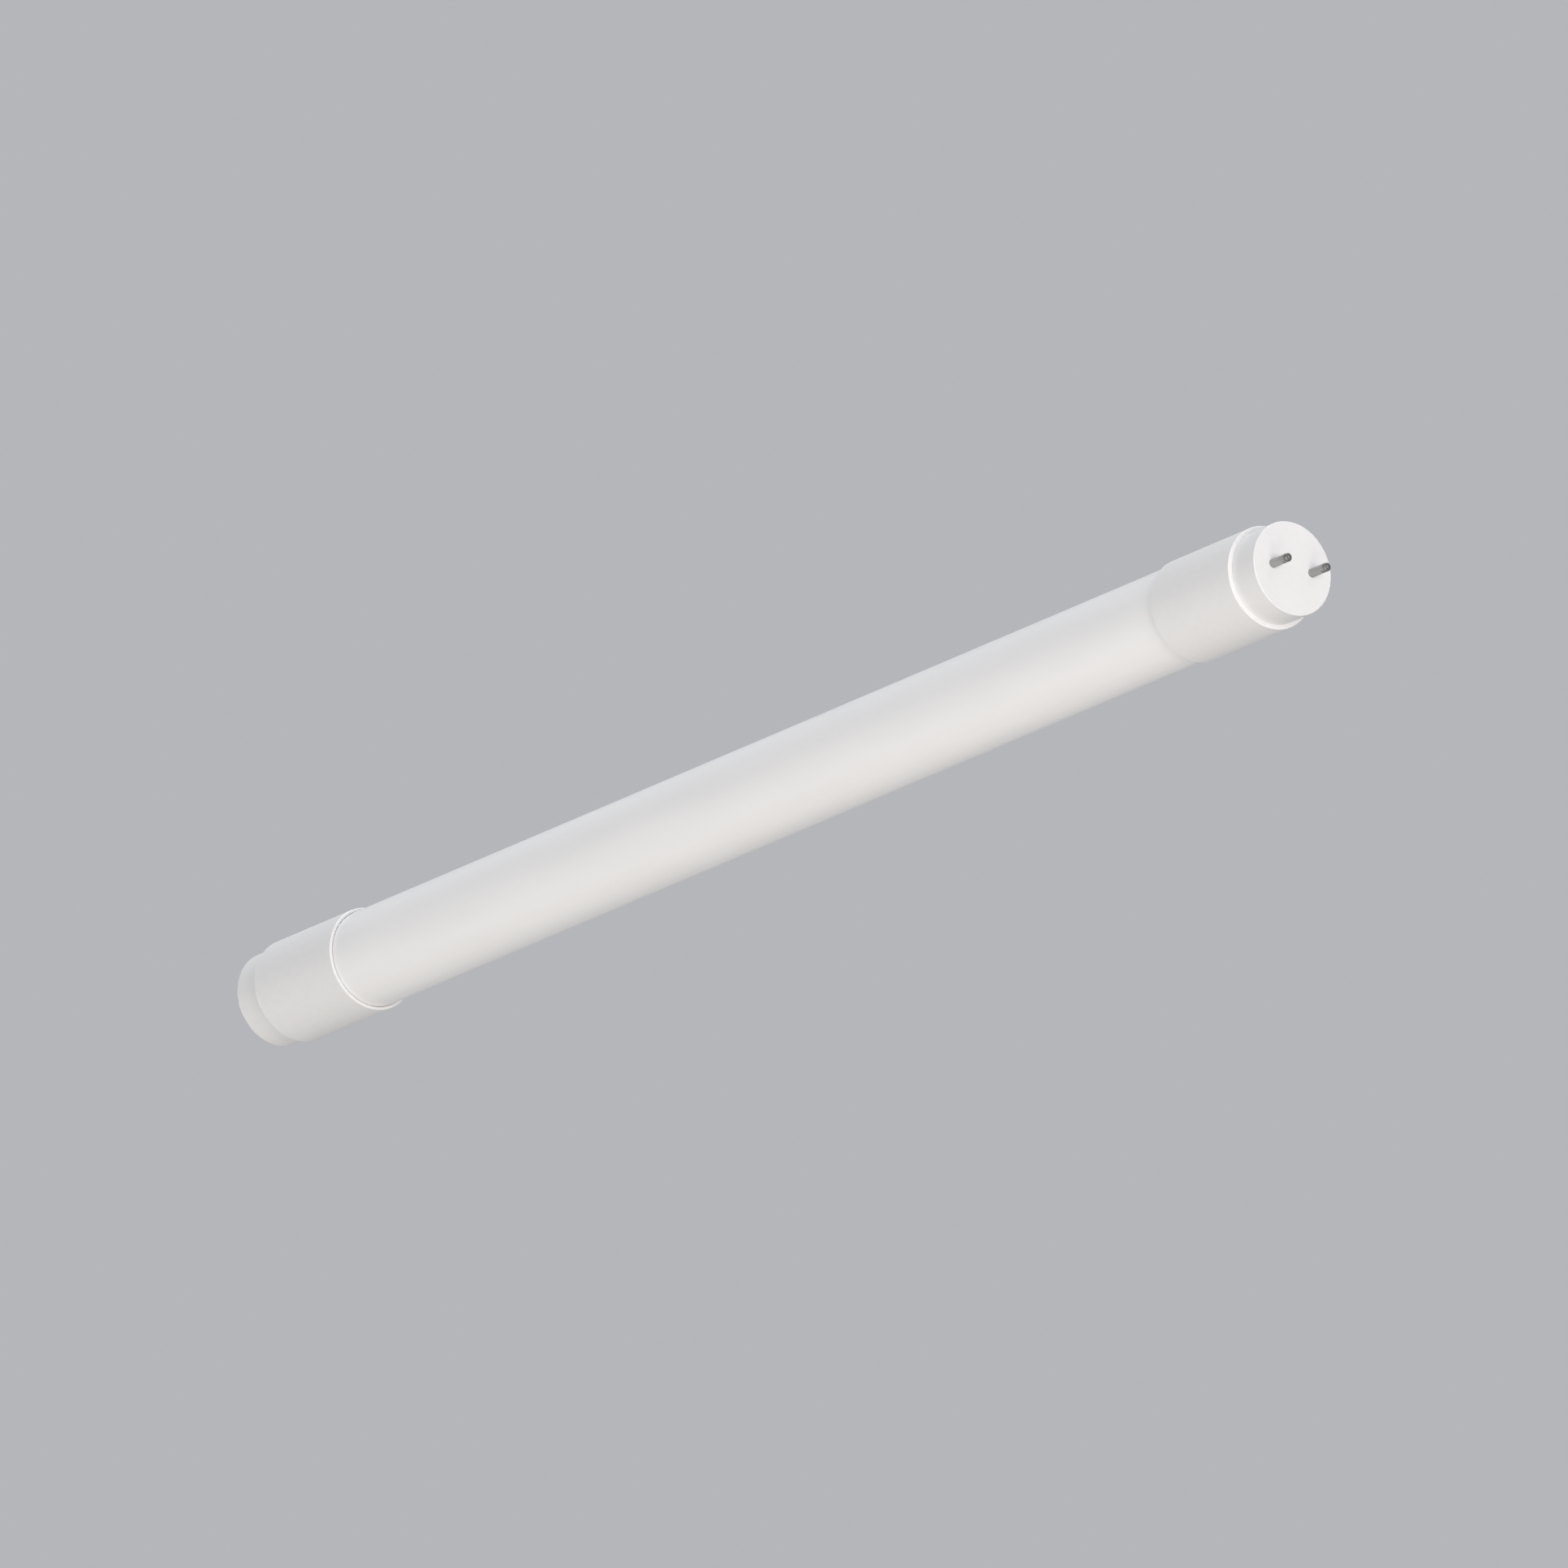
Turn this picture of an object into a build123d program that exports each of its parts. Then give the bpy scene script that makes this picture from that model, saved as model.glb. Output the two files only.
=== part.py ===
from build123d import *
from math import sqrt
import os

# LED tube of the 26 mm tube size with a two-pin base at each end, in millimetres.
# It lies along X with its middle at the origin, its pins side by side along Y.
# The driver is in the cap at +X. The diodes hang under the top of the glass and shine down.

# Glass tube
glass_diameter = 26.0
glass_wall = 0.8
glass_rim_chamfer = 0.2

# End caps, both from one mould
base_to_base = 437.4
collar_wall = 0.75
collar_length = 33.0
nose_step = 1.25
nose_length = 9.2
nose_wall = 0.9
step_wall = 1.0
end_wall = 2.0
cap_grip = 15.0
cap_rim_round = 0.25
glue_gap = 0.15
glass_end_gap = 0.1
stop_rib_count = 6
stop_rib_width = 1.4
rib_root = 0.3
boss_diameter = 5.2
boss_length = 3.0
boss_chamfer = 0.4

# Slots in the caps that hold the driver board by its two long edges
rail_length = 20.0
rail_thickness = 1.0
slot_depth = 0.9
slot_clearance = 0.1

# Contact pins
pin_spacing = 12.7
pin_diameter = 2.35
pin_reach = 6.7
pin_shank_diameter = 2.0
pin_bore = 1.4
pin_mouth = 0.9
pin_lip = 0.4
pin_tip_round = 0.4
pin_flange_diameter = 3.8
pin_flange = 0.5
pin_hole_clearance = 0.02
crimp_from_tip = 1.5
crimp_depth = 0.3
crimp_punch_diameter = 1.4

# Glue film between each cap and the glass
glue_inset = 0.3
glue_length = 10.0
glue_clearance = 0.02

# Diode strip stuck to the top of the glass
strip_width = 10.0
strip_thickness = 1.0
strip_inset = 3.5
strip_clearance = 0.05
bead_width = 7.0
bead_inset = 5.0

# Diodes
led_count = 28
led_length = 3.5
led_width = 2.8
led_height = 0.7
led_window_length = 2.8
led_window_width = 2.1
led_window_depth = 0.1
led_corner = 0.5

# Driver board
board_thickness = 1.6
board_top = -3.2
board_end_gap = 0.3
board_side_gap = 0.3

# What stands on the driver board
mains_margin = 11.3
component_gap = 1.5
middle_gap = 0.7
lead_diameter = 0.6
lead_hole = 0.9
lead_tail = 1.0
lead_root = 0.5
lead_bend = 0.6
stand_off = 0.3
fuse_diameter = 3.4
fuse_waist = 3.0
fuse_length = 8.5
fuse_end = 2.0
fuse_span = 12.5
varistor_diameter = 7.4
varistor_thickness = 3.6
varistor_round = 1.2
varistor_span = 5.0
film_length = 10.0
film_thickness = 4.5
film_height = 8.5
film_span = 7.5
film_chamfer = 0.4
bulk_diameter = 8.0
bulk_length = 11.0
bulk_groove_depth = 0.4
bulk_groove_width = 1.0
bulk_groove_place = 1.6
bulk_span = 3.5
bulk_bend = 1.2
choke_diameter = 8.0
choke_height = 8.0
choke_flange = 1.2
choke_post = 4.0
choke_span = 5.0
winding_diameter = 7.2
winding_clearance = 0.05

# What is soldered flat under the driver board: length along X, width along Y, height
rectifier_size = (4.7, 3.9, 2.4)
chip_size = (4.9, 3.9, 1.4)
diode_size = (4.3, 2.6, 2.2)
resistor_size = (3.2, 1.6, 0.55)
resistor_y = 6.4
leg_width = 0.45
leg_thickness = 0.25
leg_reach = 1.0
leg_lift = 0.1

# Wires
wire_diameter = 1.2
wire_bend = 2.6
bend_fit = 0.95
wire_in_pin = 3.0
conductor_diameter = 0.8
conductor_inset = 0.1
pin_wire_drop = 4.0
link_wire_reach = 8.0
strip_wire_spacing = 5.0
strip_wire_inset = 1.6
strip_wire_clearance = 1.3
strip_wire_pad = 3.5

# Diameters across the tube, worked out from the sizes above
collar_bore = glass_diameter + 2 * glue_gap
collar_diameter = collar_bore + 2 * collar_wall
nose_diameter = collar_diameter - 2 * nose_step
nose_bore = nose_diameter - 2 * nose_wall
glass_bore = glass_diameter - 2 * glass_wall
pin_hole = pin_shank_diameter + 2 * pin_hole_clearance

# Places along X, worked out from the sizes above
end_face = base_to_base / 2
step_face = end_face - nose_length
collar_start = step_face - collar_length
end_wall_inside = end_face - end_wall
step_inside = step_face - step_wall
boss_start = end_wall_inside - boss_length
glass_end = collar_start + cap_grip
rib_start = glass_end + glass_end_gap
rail_start = end_wall_inside - rail_length
strip_end = glass_end - strip_inset
pin_tip = end_face + pin_reach
pin_start = boss_start - pin_flange

# Heights and half widths, worked out from the sizes above
strip_top = sqrt((glass_bore / 2) ** 2 - (strip_width / 2) ** 2) - strip_clearance
strip_bottom = strip_top - strip_thickness
board_bottom = board_top - board_thickness
board_middle = board_top - board_thickness / 2
board_room = min(nose_bore, glass_bore) / 2
board_half_width = sqrt(board_room**2 - board_bottom**2) - board_side_gap
rail_tip = board_half_width - slot_depth
standing = board_top + stand_off
lead_end = board_bottom - lead_tail

# Places on the driver board, one after the other from its mains end
board_end = end_wall_inside - board_end_gap
fuse_x = board_end - mains_margin - fuse_diameter / 2
varistor_x = fuse_x - (fuse_diameter + varistor_thickness) / 2 - component_gap
film_x = varistor_x - (varistor_thickness + film_thickness) / 2 - component_gap
bulk_x = film_x - film_thickness / 2 - component_gap - bulk_bend
choke_x = film_x - (film_thickness + choke_diameter) / 2 - component_gap
last_x = min(bulk_x - bulk_length, choke_x - choke_diameter / 2)
riser_x = last_x - component_gap - wire_diameter / 2
board_start = riser_x - strip_wire_inset
board_length = board_end - board_start
rectifier_x = fuse_x
chip_x = last_x + chip_size[0] / 2
resistor_x = chip_x
diode_x = chip_x + (chip_size[0] + diode_size[0]) / 2 + component_gap
bulk_y = bulk_diameter / 2 + middle_gap
choke_y = -choke_diameter / 2 - middle_gap
bulk_lead_x = bulk_x + bulk_bend
lead_places = (
    [(fuse_x, side * fuse_span / 2) for side in (-1, 1)]
    + [(varistor_x, side * varistor_span / 2) for side in (-1, 1)]
    + [(film_x, side * film_span / 2) for side in (-1, 1)]
    + [(bulk_lead_x, bulk_y + side * bulk_span / 2) for side in (-1, 1)]
    + [(choke_x, choke_y + side * choke_span / 2) for side in (-1, 1)]
)

os.makedirs("parts", exist_ok=True)


def write(piece, label):
    """Names a finished piece and writes it to its own file."""
    piece.part.label = label
    export_step(piece.part, f"parts/{label}.step")


def turned(piece):
    """The same piece at the other end of the tube, turned half round about Z."""
    with BuildPart() as copy:
        add(piece.part, rotation=(0, 0, 180))
    return copy


# Glass tube, open at both ends, with its cut rims ground
with BuildPart() as glass_tube:
    with BuildSketch(Plane.YZ.offset(-glass_end)):
        Circle(glass_diameter / 2)
        Circle(glass_bore / 2, mode=Mode.SUBTRACT)
    extrude(amount=2 * glass_end)
    chamfer(glass_tube.edges().filter_by(GeomType.CIRCLE), glass_rim_chamfer)
write(glass_tube, "glass_tube")

# End cap: a stepped shell, closed at the face that carries the pins
with BuildPart() as driver_end_cap:
    with BuildSketch(Plane.XY):
        with BuildLine():
            Polyline(
                (collar_start, collar_bore / 2),
                (collar_start, collar_diameter / 2),
                (step_face, collar_diameter / 2),
                (step_face, nose_diameter / 2),
                (end_face, nose_diameter / 2),
                (end_face, 0),
                (end_wall_inside, 0),
                (end_wall_inside, nose_bore / 2),
                (step_inside, nose_bore / 2),
                (step_inside, collar_bore / 2),
                close=True,
            )
        make_face()
    revolve(axis=Axis.X)
    round_edges = driver_end_cap.edges().filter_by(GeomType.CIRCLE)
    fillet(
        round_edges.group_by(SortBy.RADIUS)[-1] + round_edges.group_by(Axis.X)[-1],
        cap_rim_round,
    )
    # Ribs that the end of the glass stops against
    with BuildSketch(Plane.YZ.offset(rib_start)):
        rib_outside = collar_bore / 2 + rib_root
        with PolarLocations((glass_bore / 2 + rib_outside) / 2, stop_rib_count):
            Rectangle(rib_outside - glass_bore / 2, stop_rib_width)
    extrude(amount=step_inside - rib_start)
    # Rails above and below each long edge of the driver board
    rail_reach = collar_bore / 2 - rail_tip
    for start, stop, bore in (
        (rail_start, step_inside, collar_bore),
        (step_inside, end_wall_inside, nose_bore),
    ):
        with BuildSketch(Plane.YZ.offset(start)):
            with Locations((0, board_middle)):
                with GridLocations(
                    2 * rail_tip + rail_reach,
                    board_thickness + 2 * slot_clearance + rail_thickness,
                    2,
                    2,
                ):
                    Rectangle(rail_reach, rail_thickness)
            Circle(bore / 2 + rib_root, mode=Mode.INTERSECT)
        extrude(amount=stop - start)
    # Bosses that stiffen the wall round the pins
    with BuildSketch(Plane.YZ.offset(boss_start)):
        with GridLocations(pin_spacing, 0, 2, 1):
            Circle(boss_diameter / 2)
    extrude(amount=end_wall_inside - boss_start)
    boss_rims = driver_end_cap.edges().filter_by_position(
        Axis.X, boss_start, boss_start
    )
    chamfer(boss_rims.filter_by(GeomType.CIRCLE), boss_chamfer)
    with Locations(Plane.YZ.offset(end_face)):
        with GridLocations(pin_spacing, 0, 2, 1):
            Hole(pin_hole / 2)
write(driver_end_cap, "driver_end_cap")

plain_end_cap = turned(driver_end_cap)
write(plain_end_cap, "plain_end_cap")

# Silicone film between cap and glass
with BuildPart() as driver_end_seal:
    with BuildSketch(Plane.YZ.offset(collar_start + glue_inset)):
        Circle(collar_bore / 2 - glue_clearance)
        Circle(glass_diameter / 2 + glue_clearance, mode=Mode.SUBTRACT)
    extrude(amount=glue_length)
write(driver_end_seal, "driver_end_seal")

plain_end_seal = turned(driver_end_seal)
write(plain_end_seal, "plain_end_seal")


def contact_pin(y):
    """Hollow pin, shouldered on the end face, flared inside and crimped near its tip."""
    with BuildPart() as pin:
        with BuildSketch(Plane((0, y, 0))):
            with BuildLine():
                Polyline(
                    (pin_start, pin_bore / 2),
                    (pin_start, pin_flange_diameter / 2),
                    (boss_start, pin_flange_diameter / 2),
                    (boss_start, pin_shank_diameter / 2),
                    (end_face, pin_shank_diameter / 2),
                    (end_face, pin_diameter / 2),
                    (pin_tip, pin_diameter / 2),
                    (pin_tip, pin_mouth / 2),
                    (pin_tip - pin_lip, pin_mouth / 2),
                    (pin_tip - 2 * pin_lip, pin_bore / 2),
                    close=True,
                )
            make_face()
        revolve(axis=Axis((0, y, 0), (1, 0, 0)))
        tip_edges = pin.edges().group_by(Axis.X)[-1]
        fillet(tip_edges.sort_by(SortBy.RADIUS)[-1], pin_tip_round)
        punch_z = (pin_diameter + crimp_punch_diameter) / 2 - crimp_depth
        with Locations(
            (pin_tip - crimp_from_tip, y, -punch_z),
            (pin_tip - crimp_from_tip, y, punch_z),
        ):
            Cylinder(
                crimp_punch_diameter / 2,
                2 * pin_diameter,
                rotation=(90, 0, 0),
                mode=Mode.SUBTRACT,
            )
    return pin


line_pin = contact_pin(pin_spacing / 2)
write(line_pin, "line_pin")
neutral_pin = contact_pin(-pin_spacing / 2)
write(neutral_pin, "neutral_pin")
linked_pin_1 = turned(line_pin)
write(linked_pin_1, "linked_pin_1")
linked_pin_2 = turned(neutral_pin)
write(linked_pin_2, "linked_pin_2")

# Aluminium strip that carries the diodes
with BuildPart() as diode_strip:
    with BuildSketch(Plane.XY.offset(strip_bottom)):
        Rectangle(2 * strip_end, strip_width)
    extrude(amount=strip_thickness)
write(diode_strip, "diode_strip")

# Silicone bead that fills the space between the strip and the round of the glass
with BuildPart() as strip_bead:
    with BuildSketch(Plane.YZ.offset(bead_inset - strip_end)):
        Circle(glass_bore / 2 - glue_clearance)
        with Locations((0, strip_top)):
            Rectangle(
                bead_width,
                glass_bore / 2,
                align=(Align.CENTER, Align.MIN),
                mode=Mode.INTERSECT,
            )
    extrude(amount=2 * (strip_end - bead_inset))
write(strip_bead, "strip_bead")


def diode(x):
    """Surface-mounted diode with a sunk emitting window and one cut corner."""
    with BuildPart() as led:
        with BuildSketch(Plane.XY.offset(strip_bottom)):
            with Locations((x, 0)):
                Rectangle(led_length, led_width)
        extrude(amount=-led_height)
        corners = led.edges().filter_by(Axis.Z)
        chamfer(corners.sort_by(Axis.X)[-2:].sort_by(Axis.Y)[-1], led_corner)
        with BuildSketch(Plane.XY.offset(strip_bottom - led_height)):
            with Locations((x, 0)):
                Rectangle(led_window_length, led_window_width)
        extrude(amount=led_window_depth, mode=Mode.SUBTRACT)
    return led


led_pitch = 2 * strip_end / led_count
for number in range(led_count):
    led_x = -strip_end + (number + 0.5) * led_pitch
    write(diode(led_x), f"led_{number + 1:02d}")

# Driver board, drilled for every lead
with BuildPart() as driver_board:
    with BuildSketch(Plane.XY.offset(board_bottom)):
        with Locations(((board_start + board_end) / 2, 0)):
            Rectangle(board_length, 2 * board_half_width)
    extrude(amount=board_thickness)
    with Locations(*[(x, y, board_top) for x, y in lead_places]):
        Hole(lead_hole / 2)
write(driver_board, "driver_board")


def bend_radii(points, bend):
    """The bend at each square corner, less where a run beside it is short."""
    runs = [(Vector(b) - Vector(a)).length for a, b in zip(points, points[1:])]
    room = [runs[0], *(run / 2 for run in runs[1:-1]), runs[-1]]
    return [min(bend, bend_fit * min(pair)) for pair in zip(room, room[1:])]


def round_wire(points, diameter, bend):
    """Round wire along straight runs joined by tangent arcs."""
    with BuildPart() as wire:
        with BuildLine() as route:
            FilletPolyline(*points, radius=bend_radii(points, bend))
        with BuildSketch(Plane(route.line @ 0, z_dir=route.line % 0)):
            Circle(diameter / 2)
        sweep(path=route.line)
    return wire


def bent_lead(start, corner):
    """Lead that leaves a component sideways and turns down through the board."""
    foot = (corner[0], corner[1], lead_end)
    return round_wire((start, corner, foot), lead_diameter, lead_bend).part


def straight_leads(x, y, span, top):
    """Two leads, side by side along Y, that end below the board."""
    with BuildPart() as leads:
        with BuildSketch(Plane.XY.offset(lead_end)):
            with Locations((x, y)):
                with GridLocations(0, span, 1, 2):
                    Circle(lead_diameter / 2)
        extrude(amount=top - lead_end)
    return leads.part


# Fusible resistor lying across the board
fuse_z = standing + fuse_diameter / 2
fuse_leads = [
    bent_lead(
        (fuse_x, side * (fuse_length / 2 - lead_root), fuse_z),
        (fuse_x, side * fuse_span / 2, fuse_z),
    )
    for side in (-1, 1)
]
with BuildPart() as input_fuse:
    with BuildSketch(Plane((fuse_x, 0, fuse_z), x_dir=(0, 1, 0), z_dir=(1, 0, 0))):
        with BuildLine():
            half, waist_half = fuse_length / 2, fuse_length / 2 - fuse_end
            Polyline(
                (-half, 0),
                (-half, fuse_diameter / 2),
                (-waist_half, fuse_diameter / 2),
                (-waist_half, fuse_waist / 2),
                (waist_half, fuse_waist / 2),
                (waist_half, fuse_diameter / 2),
                (half, fuse_diameter / 2),
                (half, 0),
                close=True,
            )
        make_face()
    revolve(axis=Axis((fuse_x, 0, fuse_z), (0, 1, 0)))
    add(fuse_leads)
write(input_fuse, "input_fuse")

# Surge varistor, a dipped disc standing across the board
varistor_z = standing + varistor_diameter / 2
varistor_leads = straight_leads(varistor_x, 0, varistor_span, varistor_z)
with BuildPart() as varistor:
    with BuildSketch(Plane.YZ.offset(varistor_x - varistor_thickness / 2)):
        with Locations((0, varistor_z)):
            Circle(varistor_diameter / 2)
    extrude(amount=varistor_thickness)
    fillet(varistor.edges().filter_by(GeomType.CIRCLE), varistor_round)
    add(varistor_leads)
write(varistor, "varistor")

# Film capacitor in a box case
film_leads = straight_leads(film_x, 0, film_span, standing + lead_root)
with BuildPart() as film_capacitor:
    with BuildSketch(Plane.XY.offset(standing)):
        with Locations((film_x, 0)):
            Rectangle(film_thickness, film_length)
    extrude(amount=film_height)
    chamfer(
        film_capacitor.edges().filter_by(Axis.Z)
        + film_capacitor.edges().group_by(Axis.Z)[-1],
        film_chamfer,
    )
    add(film_leads)
write(film_capacitor, "film_capacitor")

# Electrolytic capacitor lying along the board, grooved where its can is rolled in
bulk_z = standing + bulk_diameter / 2
bulk_leads = [
    bent_lead(
        (bulk_x - lead_root, bulk_y + side * bulk_span / 2, bulk_z),
        (bulk_lead_x, bulk_y + side * bulk_span / 2, bulk_z),
    )
    for side in (-1, 1)
]
with BuildPart() as bulk_capacitor:
    with BuildSketch(Plane.YZ.offset(bulk_x - bulk_length)):
        with Locations((bulk_y, bulk_z)):
            Circle(bulk_diameter / 2)
    extrude(amount=bulk_length)
    chamfer(bulk_capacitor.edges().filter_by(GeomType.CIRCLE), bulk_groove_depth)
    with BuildSketch(Plane.YZ.offset(bulk_x - bulk_groove_place)):
        with Locations((bulk_y, bulk_z)):
            Circle(bulk_diameter)
            Circle(bulk_diameter / 2 - bulk_groove_depth, mode=Mode.SUBTRACT)
    extrude(amount=-bulk_groove_width, mode=Mode.SUBTRACT)
    add(bulk_leads)
write(bulk_capacitor, "bulk_capacitor")

# Choke: a ferrite bobbin and the coil wound on it
choke_leads = straight_leads(choke_x, choke_y, choke_span, standing + lead_root)
with BuildPart() as choke_core:
    with BuildSketch(Plane.XY.offset(standing)):
        with Locations((choke_x, choke_y)):
            Circle(choke_diameter / 2)
    extrude(amount=choke_flange)
    with BuildSketch(Plane.XY.offset(standing)):
        with Locations((choke_x, choke_y)):
            Circle(choke_post / 2)
    extrude(amount=choke_height)
    with BuildSketch(Plane.XY.offset(standing + choke_height)):
        with Locations((choke_x, choke_y)):
            Circle(choke_diameter / 2)
    extrude(amount=-choke_flange)
    add(choke_leads)
write(choke_core, "choke_core")

with BuildPart() as choke_winding:
    coil_bottom = standing + choke_flange + winding_clearance
    with BuildSketch(Plane.XY.offset(coil_bottom)):
        with Locations((choke_x, choke_y)):
            Circle(winding_diameter / 2)
            Circle(choke_post / 2 + winding_clearance, mode=Mode.SUBTRACT)
    extrude(amount=choke_height - 2 * (choke_flange + winding_clearance))
write(choke_winding, "choke_winding")


def flat_package(x, y, size, legs_per_side):
    """Package soldered under the board, with bent legs along its two long sides."""
    length, width, height = size
    body_top = board_bottom - leg_lift
    with BuildPart() as package:
        with BuildSketch(Plane.XY.offset(body_top)):
            with Locations((x, y)):
                Rectangle(length, width)
        extrude(amount=-height)
        if legs_per_side:
            leg_pitch = length / legs_per_side
            shoulder = body_top - height / 2
            for side in (-1, 1):
                middle_y = y + side * (width + leg_reach) / 2
                with BuildSketch(Plane.XY.offset(shoulder)):
                    with Locations((x, middle_y)):
                        with GridLocations(leg_pitch, 0, legs_per_side, 1):
                            Rectangle(leg_width, leg_reach)
                extrude(amount=leg_thickness)
                foot_y = y + side * (width / 2 + leg_reach - leg_thickness / 2)
                with BuildSketch(Plane.XY.offset(shoulder)):
                    with Locations((x, foot_y)):
                        with GridLocations(leg_pitch, 0, legs_per_side, 1):
                            Rectangle(leg_width, leg_thickness)
                extrude(amount=board_bottom - shoulder)
    return package


write(flat_package(rectifier_x, 0, rectifier_size, 2), "bridge_rectifier")
write(flat_package(chip_x, 0, chip_size, 4), "driver_chip")
write(flat_package(diode_x, 0, diode_size, 0), "freewheel_diode")
write(flat_package(resistor_x, resistor_y, resistor_size, 0), "sense_resistor_1")
write(flat_package(resistor_x, -resistor_y, resistor_size, 0), "sense_resistor_2")


# Stripped ends of wires, which fill the pins up to the crimped tip
with BuildPart() as stripped_ends:
    with BuildSketch(Plane.YZ.offset(pin_start)):
        with GridLocations(pin_spacing, 0, 2, 1):
            Circle(conductor_diameter / 2)
    extrude(amount=pin_tip - conductor_inset - pin_start)

# Mains wires, from inside the pins down to the driver board
wire_turn_x = pin_start - pin_wire_drop
for side, label in ((1, "line_wire"), (-1, "neutral_wire")):
    wire_y = side * pin_spacing / 2
    mains_route = (
        (pin_start + wire_in_pin, wire_y, 0),
        (wire_turn_x, wire_y, 0),
        (wire_turn_x, wire_y, board_top),
    )
    with BuildPart() as mains_wire:
        add(stripped_ends.solids().sort_by(Axis.Y)[0 if side < 0 else -1])
        add(round_wire(mains_route, wire_diameter, wire_bend).part)
    write(mains_wire, label)

# Wire that joins the two pins of the plain end
link_turn_x = -(pin_start - link_wire_reach)
link_route = (
    (-(pin_start + wire_in_pin), pin_spacing / 2, 0),
    (link_turn_x, pin_spacing / 2, 0),
    (link_turn_x, -pin_spacing / 2, 0),
    (-(pin_start + wire_in_pin), -pin_spacing / 2, 0),
)
with BuildPart() as link_wire:
    add(stripped_ends.part, rotation=(0, 0, 180))
    add(round_wire(link_route, wire_diameter, wire_bend).part)
write(link_wire, "link_wire")

# Output wires, from the driver board over the choke up to the diode strip
tallest = standing + max(bulk_diameter, choke_height)
crossing_z = tallest + strip_wire_clearance + wire_diameter / 2
pad_x = strip_end - strip_wire_pad
for side, label in ((1, "strip_plus_wire"), (-1, "strip_minus_wire")):
    wire_y = side * strip_wire_spacing / 2
    output_route = (
        (riser_x, wire_y, board_top),
        (riser_x, wire_y, crossing_z),
        (pad_x, wire_y, crossing_z),
        (pad_x, wire_y, strip_bottom),
    )
    write(round_wire(output_route, wire_diameter, wire_bend), label)
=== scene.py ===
import bpy
import math
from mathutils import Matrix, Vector


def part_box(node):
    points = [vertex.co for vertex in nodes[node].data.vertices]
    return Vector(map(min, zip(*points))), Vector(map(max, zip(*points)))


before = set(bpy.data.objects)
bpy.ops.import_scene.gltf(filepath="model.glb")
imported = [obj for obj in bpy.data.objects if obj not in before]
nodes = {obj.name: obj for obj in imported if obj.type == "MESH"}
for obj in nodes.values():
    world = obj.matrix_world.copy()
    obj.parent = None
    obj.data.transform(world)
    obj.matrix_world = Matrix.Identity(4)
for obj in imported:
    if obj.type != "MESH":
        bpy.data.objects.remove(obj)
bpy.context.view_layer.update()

# Lengths are in metres, angles in degrees and colours in linear light.

# The view of the photo: where the camera stands round the tube, and how much it takes in
VIEW_AZIMUTH = 52.7
VIEW_ELEVATION = -18.85
VIEW_WIDTH = 0.4087
VIEW_ALONG = 0.002
CAMERA_DISTANCE = 18.0
CAMERA_SENSOR = 36.0
CLIP_START = 1.0

# Studio. The floor lies lower than the camera gets in a view from below.
GROUND_COLOUR = (0.462, 0.468, 0.491)
FLOOR_COLOUR = (0.80, 0.79, 0.77)
FLOOR_DROP = CAMERA_DISTANCE + 0.5
FLOOR_SIZE = 180.0
LAMP_DISTANCE = 3.0

# Lamps: name, azimuth, elevation, side, brightness of the face and colour
LAMPS = (
    ("side_box", 81.0, -7.5, 1.25, 9.4, (1.0, 0.96, 0.97)),
    ("front_box", 0.0, -39.0, 2.0, 2.7, (1.0, 0.968, 0.94)),
    ("low_box", 75.0, -50.0, 2.0, 1.52, (1.0, 0.89, 0.76)),
    ("top_box", 180.0, 85.0, 2.2, 4.4, (0.97, 0.98, 1.0)),
    ("end_box", -90.0, 6.0, 0.7, 12.0, (1.0, 0.98, 0.97)),
)

# Sizes of the CAD pieces that the finishes follow
STAND_OFF = 0.0003
WIRE_IN_PIN = 0.003
FUSE_BODY = 0.0085
BULK_LEAD_REACH = 0.0014
LEG_REACH = 0.001
LED_WINDOW_DEPTH = 0.0001
LED_WINDOW_WIDTH = 0.0021

# Sizes of what the finishes add
PATCH_FADE = 0.00001
DARK_TIP_LENGTH = 0.0009
DARK_TIP_FADE = 0.0003
FUSE_BAND = 0.0009
BULK_STRIPE = 0.0033
RESISTOR_END = 0.0004
WINDING_TURN = 0.00035
MASK_DEPTH = 0.00005
TRACK_GAP = 0.0003
STRIP_TRACK_WIDTH = 0.008
BOARD_TRACK_LENGTH = 0.009
BOARD_TRACK_WIDTH = 0.0013
BOARD_TRACK_STAGGER = 0.37

# Noise in every finish, with the grain of mottle and gloss as a share of that of the speckles
MOTTLE_GRAIN = 0.2
MOTTLE_DETAIL = 4.0
GLOSS_GRAIN = 0.5
GLOSS_DETAIL = 3.0
SPECKLE_DETAIL = 2.0
SPECKLES_ON_RIDGES = 0.3

# The range in which most values of a noise lie
NOISE_LOW = 0.3
NOISE_HIGH = 0.7

# Radians to the unit in Blender's wave texture at scale 1
WAVE_RADIANS = 20.0

TINNED = {"colour": (0.68, 0.67, 0.64), "rough": 0.3, "metallic": 1.0}


def direction(azimuth, elevation):
    """Unit vector from the middle of the tube out to a place seen at these angles."""
    a, e = math.radians(azimuth), math.radians(elevation)
    return Vector((math.sin(a) * math.cos(e), -math.cos(a) * math.cos(e), math.sin(e)))


def put(obj, azimuth, elevation, distance):
    """Places a lamp or camera round the tube and turns it to face the middle."""
    way = direction(azimuth, elevation)
    obj.location = way * distance
    obj.rotation_euler = (-way).to_track_quat("-Z", "Y").to_euler()
    bpy.context.scene.collection.objects.link(obj)


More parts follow.
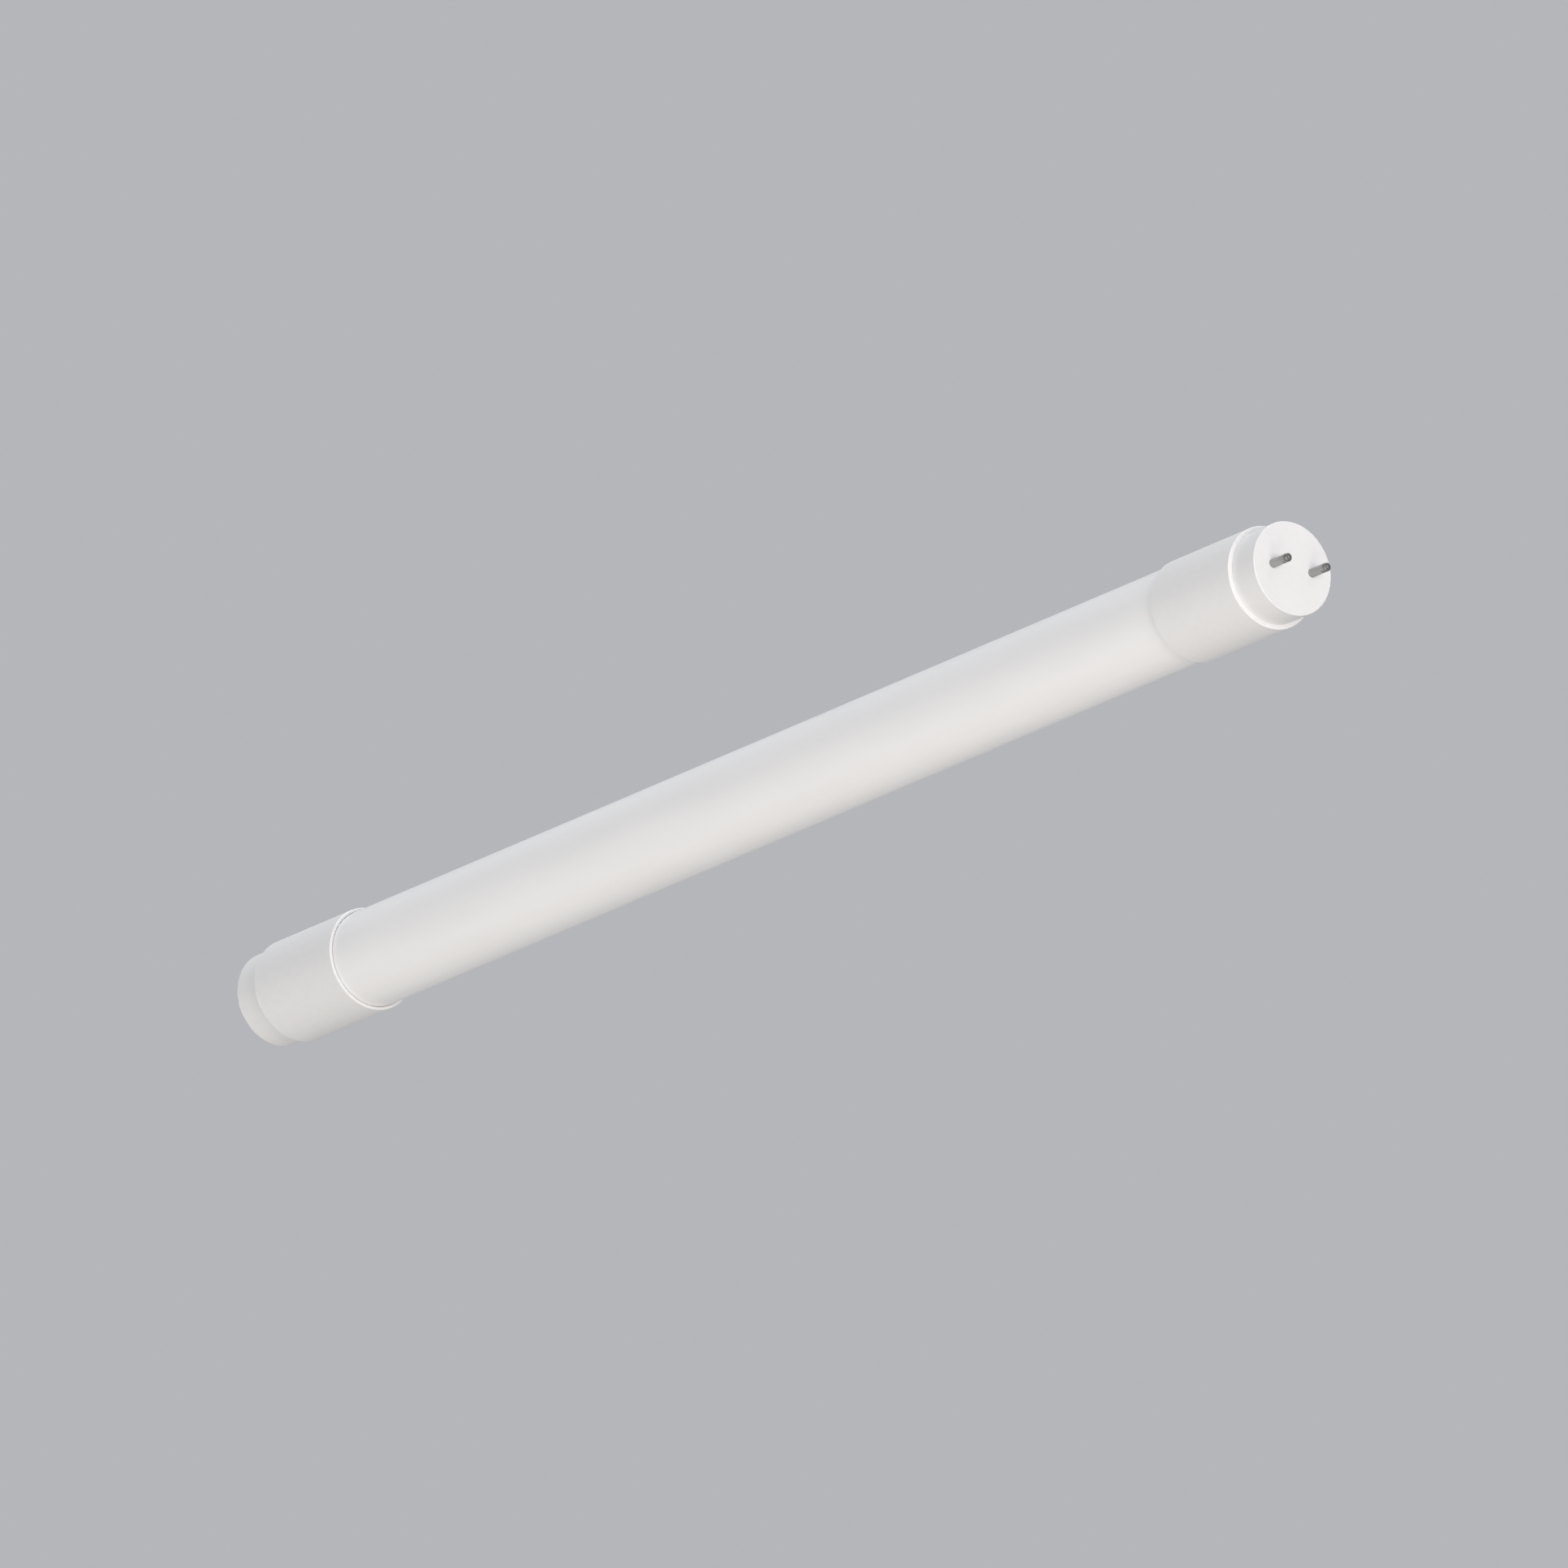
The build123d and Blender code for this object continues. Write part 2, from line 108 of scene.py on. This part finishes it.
def make_camera():
    data = bpy.data.cameras.new("camera")
    data.sensor_width = CAMERA_SENSOR
    data.lens = CAMERA_SENSOR * CAMERA_DISTANCE / VIEW_WIDTH
    data.clip_start, data.clip_end = CLIP_START, 2 * CAMERA_DISTANCE
    camera = bpy.data.objects.new("camera", data)
    put(camera, VIEW_AZIMUTH, VIEW_ELEVATION, CAMERA_DISTANCE)
    camera.location.x += VIEW_ALONG
    bpy.context.scene.camera = camera


def soft_box(name, azimuth, elevation, side, brightness, colour):
    """Square lamp facing the tube."""
    data = bpy.data.lights.new(name, "AREA")
    data.shape = "SQUARE"
    data.size = side
    data.energy = brightness * math.pi * side * side
    data.color = colour
    lamp = bpy.data.objects.new(name, data)
    lamp.visible_camera = False
    put(lamp, azimuth, elevation, LAMP_DISTANCE)


def make_light():
    world = bpy.data.worlds.new("plain_studio")
    world.use_nodes = True
    world.node_tree.nodes["Background"].inputs["Color"].default_value = (*GROUND_COLOUR, 1.0)
    bpy.context.scene.world = world
    bpy.context.scene.view_settings.view_transform = "Standard"
    for lamp in LAMPS:
        soft_box(*lamp)


def make_floor():
    half = FLOOR_SIZE / 2
    corners = [(-half, -half, 0), (half, -half, 0), (half, half, 0), (-half, half, 0)]
    mesh = bpy.data.meshes.new("floor")
    mesh.from_pydata(corners, [], [(0, 1, 2, 3)])
    mesh.materials.append(
        finish("floor_paint", FLOOR_COLOUR, spread=0.01, grain=2.0, rough=(0.6, 0.7), bump=0.0001)
    )
    floor = bpy.data.objects.new("floor", mesh)
    floor.location.z = -FLOOR_DROP
    bpy.context.scene.collection.objects.link(floor)


class Nodes:
    """The shader nodes of one material, with short ways to add and join them."""

    def __init__(self, name):
        self.material = bpy.data.materials.new(name)
        self.material.use_nodes = True
        self.tree = self.material.node_tree
        self.shader = self.tree.nodes["Principled BSDF"]
        self.place = self.add("ShaderNodeTexCoord").outputs["Object"]

    def add(self, kind, **settings):
        node = self.tree.nodes.new(kind)
        for name, value in settings.items():
            setattr(node, name, value)
        return node

    def join(self, source, target):
        self.tree.links.new(source, target)

    def noise(self, place, grain, detail):
        """Cloudy speckles, grain to the metre."""
        node = self.add("ShaderNodeTexNoise")
        node.inputs["Scale"].default_value = grain
        node.inputs["Detail"].default_value = detail
        self.join(place, node.inputs["Vector"])
        return node.outputs["Fac"]

    def spread(self, value, low, high, to_low, to_high):
        """Carries values from one range over to another and holds them at its ends."""
        node = self.add("ShaderNodeMapRange")
        for name, number in (
            ("From Min", low), ("From Max", high), ("To Min", to_low), ("To Max", to_high),
        ):
            node.inputs[name].default_value = number
        self.join(value, node.inputs["Value"])
        return node.outputs["Result"]

    def maths(self, operation, first, second=None):
        """Result of a sum on numbers and sockets."""
        node = self.add("ShaderNodeMath", operation=operation)
        for value, socket in zip((first, second), node.inputs):
            if isinstance(value, bpy.types.NodeSocket):
                self.join(value, socket)
            elif value is not None:
                socket.default_value = value
        return node.outputs["Value"]

    def blend(self, mask, first, second):
        """A colour or number that goes over to the second where the mask is 1."""
        colour = isinstance(second, tuple) or getattr(second, "type", "") == "RGBA"
        node = self.add("ShaderNodeMix", data_type="RGBA" if colour else "FLOAT")
        ends = [s for s in node.inputs if s.enabled and s.name in ("A", "B")]
        for value, socket in zip((first, second), ends):
            if isinstance(value, bpy.types.NodeSocket):
                self.join(value, socket)
            else:
                socket.default_value = (*value, 1.0) if colour else value
        self.join(mask, node.inputs["Factor"])
        return next(s for s in node.outputs if s.enabled)

    def gaps(self, length, width, stagger):
        """1 in the gaps between tracks that run along X, in rows to both sides of a middle one."""
        shift = self.add("ShaderNodeMapping")
        shift.inputs["Location"].default_value = (length / 2, width / 2, 0)
        self.join(self.place, shift.inputs["Vector"])
        node = self.add("ShaderNodeTexBrick", offset=stagger)
        node.inputs["Scale"].default_value = 1.0
        node.inputs["Brick Width"].default_value = length
        node.inputs["Row Height"].default_value = width
        node.inputs["Mortar Size"].default_value = TRACK_GAP / 2
        self.join(shift.outputs["Vector"], node.inputs["Vector"])
        return node.outputs["Fac"]

    def ridges(self, axis, pitch):
        """Even ridges across an axis, from 0 in the grooves to 1 on top."""
        node = self.add("ShaderNodeTexWave", wave_type="BANDS", bands_direction=axis)
        node.inputs["Scale"].default_value = 2 * math.pi / (WAVE_RADIANS * pitch)
        self.join(self.place, node.inputs["Vector"])
        return node.outputs["Fac"]

    def inside(self, limits, fade):
        """1 within the limits along X, Y and Z. X counts from the tube's middle to either end."""
        apart = self.add("ShaderNodeSeparateXYZ")
        self.join(self.place, apart.inputs["Vector"])
        mask = 1.0
        for axis, (low, high) in limits.items():
            value = apart.outputs[axis]
            if axis == "X":
                value = self.maths("ABSOLUTE", value)
            for limit, below, above in ((low, 0, 1), (high, 1, 0)):
                if limit is not None:
                    step = self.spread(value, limit - fade, limit + fade, below, above)
                    mask = self.maths("MULTIPLY", step, mask)
        return mask


def around(middle, width):
    """The limits of a band of this width round its middle."""
    return middle - width / 2, middle + width / 2


def patch(colour, rough, metallic=0.0, fade=PATCH_FADE, tracks=None, **limits):
    """The look of the stretch of a piece within limits along X, Y and Z, such as its tinned leads.

    A limit of None leaves that side open. With tracks the patch is a mask over copper tracks:
    the colour between them, and their length, width and stagger.
    """
    return {"colour": colour, "rough": rough, "metallic": metallic, "fade": fade,
            "tracks": tracks, "limits": limits}


def tinned_ends(box, axis, reach):
    """Tinned patches that reach in from both ends of a piece's box along an axis."""
    low, high = (corner["XYZ".index(axis)] for corner in box)
    return [patch(**TINNED, **{axis: (None, low + reach)}),
            patch(**TINNED, **{axis: (high - reach, None)})]


def finish(name, colour, spread, grain, rough, bump, metallic=0.0, stretch=(1.0, 1.0, 1.0),
           turns=None, patches=(), **sockets):
    """Material with mottled colour, uneven roughness and fine relief, fixed to the piece.

    spread is the share by which the colour varies, grain the speckles to the metre, rough the
    lowest and highest roughness and bump the depth of the relief. A stretch below 1 draws the
    speckles out along that axis. turns, an axis and a pitch, adds even ridges. patches change
    parts of the piece. Other names set the shader's own sockets.
    """
    n = Nodes(name)
    mapping = n.add("ShaderNodeMapping")
    mapping.inputs["Scale"].default_value = stretch
    n.join(n.place, mapping.inputs["Vector"])
    place = mapping.outputs["Vector"]

    dark = tuple(c * (1 - spread) for c in colour)
    light = tuple(min(1.0, c * (1 + spread)) for c in colour)
    mottle = n.noise(place, grain * MOTTLE_GRAIN, MOTTLE_DETAIL)
    tone = n.blend(n.spread(mottle, NOISE_LOW, NOISE_HIGH, 0, 1), dark, light)
    height = n.noise(place, grain, SPECKLE_DETAIL)
    if turns:
        speckles = n.maths("MULTIPLY", height, SPECKLES_ON_RIDGES)
        height = n.maths("ADD", speckles, n.ridges(*turns))
    sheen = n.noise(place, grain * GLOSS_GRAIN, GLOSS_DETAIL)
    gloss = n.spread(sheen, NOISE_LOW, NOISE_HIGH, *rough)

    for part in patches:
        mask = n.inside(part["limits"], part["fade"])
        part_tone = part["colour"]
        if part["tracks"]:
            gap_colour, *layout = part["tracks"]
            gaps = n.gaps(*layout)
            part_tone = n.blend(gaps, part_tone, gap_colour)
            height = n.maths("SUBTRACT", height, n.maths("MULTIPLY", gaps, mask))
        tone = n.blend(mask, tone, part_tone)
        gloss = n.blend(mask, gloss, part["rough"])
        metallic = n.blend(mask, metallic, part["metallic"])

    relief = n.add("ShaderNodeBump")
    relief.inputs["Distance"].default_value = bump
    n.join(height, relief.inputs["Height"])
    n.join(relief.outputs["Normal"], n.shader.inputs["Normal"])
    n.join(tone, n.shader.inputs["Base Color"])
    n.join(gloss, n.shader.inputs["Roughness"])
    if patches:
        n.join(metallic, n.shader.inputs["Metallic"])
    else:
        n.shader.inputs["Metallic"].default_value = metallic
    for socket, value in sockets.items():
        n.shader.inputs[socket].default_value = value
    return n.material


def dress(pieces, name, colour, **look):
    """Gives CAD nodes the finish of this name and look."""
    material = finish(name, colour, **look)
    for piece in pieces:
        for slot in nodes[piece].material_slots:
            slot.material = material


def dress_outside():
    dress(["glass_tube"], "opal_glass", (0.86, 0.86, 0.855), spread=0.012, grain=900.0,
          rough=(0.20, 0.27), bump=0.000004, stretch=(0.15, 1.0, 1.0), IOR=1.5)
    dress(["driver_end_cap", "plain_end_cap"], "cap_plastic", (0.775, 0.775, 0.77),
          spread=0.012, grain=2500.0, rough=(0.34, 0.42), bump=0.00001, IOR=1.5)
    pin_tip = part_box("line_pin")[1][0]
    # The last stretch of each pin towards its tip is given a darker colour, a rougher surface and
    # a little less metal.
    dark_tip = patch((0.22, 0.215, 0.21), rough=0.45, metallic=0.9, fade=DARK_TIP_FADE,
                    X=(pin_tip - DARK_TIP_LENGTH, None))
    dress(["line_pin", "neutral_pin", "linked_pin_1", "linked_pin_2"], "pin_metal",
          (0.39, 0.39, 0.385), spread=0.12, grain=4000.0, rough=(0.32, 0.45), bump=0.00001,
          metallic=1.0, stretch=(0.1, 1.0, 1.0), patches=[dark_tip])
    dress(["driver_end_seal", "plain_end_seal", "strip_bead"], "silicone", (0.80, 0.80, 0.78),
          spread=0.03, grain=1200.0, rough=(0.35, 0.5), bump=0.00003, IOR=1.41)


def dress_light_source():
    first_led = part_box("led_01")[0]
    led_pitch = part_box("led_02")[0][0] - first_led[0]
    window = first_led[2] + LED_WINDOW_DEPTH
    phosphor = patch((0.88, 0.66, 0.10), rough=0.45, Y=around(0.0, LED_WINDOW_WIDTH),
                     Z=around(window, LED_WINDOW_DEPTH))
    leds = [name for name in nodes if name.startswith("led_")]
    dress(leds, "led_body", (0.86, 0.85, 0.80), spread=0.02, grain=5000.0, rough=(0.3, 0.4),
          bump=0.000005, patches=[phosphor])

    strip_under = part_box("diode_strip")[0][2]
    mask = patch((0.86, 0.86, 0.84), rough=0.35, Z=(None, strip_under + MASK_DEPTH),
                 tracks=((0.76, 0.76, 0.73), led_pitch, STRIP_TRACK_WIDTH, 0.0))
    dress(["diode_strip"], "strip_aluminium", (0.72, 0.72, 0.73), spread=0.04, grain=3000.0,
          rough=(0.32, 0.45), bump=0.00001, metallic=1.0, stretch=(0.03, 1.0, 1.0),
          patches=[mask])


def dress_board():
    board_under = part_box("driver_board")[0][2]
    mask = patch((0.05, 0.24, 0.09), rough=0.3, Z=(None, board_under + MASK_DEPTH),
                 tracks=((0.03, 0.14, 0.05), BOARD_TRACK_LENGTH, BOARD_TRACK_WIDTH,
                         BOARD_TRACK_STAGGER))
    dress(["driver_board"], "board_laminate", (0.60, 0.50, 0.26), spread=0.06, grain=2500.0,
          rough=(0.45, 0.6), bump=0.00002, patches=[mask])


def dress_leaded_pieces():
    board_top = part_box("driver_board")[1][2]
    leads = patch(**TINNED, Z=(None, board_top + STAND_OFF))
    dress(["varistor"], "varistor_body", (0.04, 0.10, 0.42), spread=0.08, grain=1200.0,
          rough=(0.18, 0.3), bump=0.00004, patches=[leads])
    dress(["film_capacitor"], "film_case", (0.62, 0.42, 0.08), spread=0.05, grain=1500.0,
          rough=(0.3, 0.42), bump=0.00002, patches=[leads])
    dress(["choke_core"], "ferrite", (0.05, 0.05, 0.055), spread=0.2, grain=3000.0,
          rough=(0.55, 0.75), bump=0.00003, patches=[leads])
    dress(["choke_winding"], "copper_wire", (0.62, 0.24, 0.09), spread=0.1, grain=2500.0,
          rough=(0.22, 0.32), bump=0.0001, metallic=0.9, turns=("Z", WINDING_TURN))

    fuse_end = FUSE_BODY / 2
    bands = (
        (-fuse_end / 2, (0.02, 0.02, 0.02)),
        (0.0, (0.30, 0.10, 0.03)),
        (fuse_end / 2, (0.45, 0.30, 0.08)),
    )
    fuse_patches = [patch(colour, rough=0.3, Y=around(y, FUSE_BAND)) for y, colour in bands]
    fuse_patches += [patch(**TINNED, Y=(fuse_end, None)), patch(**TINNED, Y=(None, -fuse_end))]
    dress(["input_fuse"], "fuse_body", (0.16, 0.30, 0.22), spread=0.06, grain=1500.0,
          rough=(0.3, 0.42), bump=0.00002, patches=fuse_patches)

    can_low, can_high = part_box("bulk_capacitor")
    can_middle = (can_low[1] + can_high[1]) / 2
    stripe = patch((0.55, 0.56, 0.58), rough=0.35, Y=(can_middle + BULK_STRIPE, None))
    bare_end = patch((0.75, 0.75, 0.76), rough=0.35, metallic=1.0,
                     X=(None, can_low[0] + STAND_OFF))
    can_leads = patch(**TINNED, X=(can_high[0] - BULK_LEAD_REACH, None))
    dress(["bulk_capacitor"], "bulk_can", (0.03, 0.03, 0.05), spread=0.1, grain=1500.0,
          rough=(0.25, 0.35), bump=0.00001, patches=[stripe, bare_end, can_leads])


def dress_flat_pieces():
    for name in ("bridge_rectifier", "driver_chip", "freewheel_diode"):
        legs = tinned_ends(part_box(name), "Y", LEG_REACH)
        dress([name], name, (0.025, 0.025, 0.027), spread=0.15, grain=4000.0, rough=(0.45, 0.6),
              bump=0.00001, patches=legs if name != "freewheel_diode" else ())
    dress(["sense_resistor_1", "sense_resistor_2"], "resistor_body", (0.03, 0.03, 0.03),
          spread=0.1, grain=4000.0, rough=(0.3, 0.4), bump=0.00001,
          patches=tinned_ends(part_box("sense_resistor_1"), "X", RESISTOR_END))


def dress_wires():
    insulation_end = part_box("line_pin")[0][0] + WIRE_IN_PIN
    conductor = patch((0.50, 0.49, 0.46), rough=0.4, metallic=1.0, X=(insulation_end, None))
    for wires, name, colour in (
        (["line_wire", "strip_plus_wire"], "wire_line", (0.48, 0.03, 0.02)),
        (["neutral_wire", "strip_minus_wire", "link_wire"], "wire_neutral", (0.78, 0.78, 0.76)),
    ):
        dress(wires, name, colour, spread=0.04, grain=1500.0, rough=(0.35, 0.5), bump=0.00002,
              patches=[conductor])


make_camera()
make_light()
make_floor()
dress_outside()
dress_light_source()
dress_board()
dress_leaded_pieces()
dress_flat_pieces()
dress_wires()
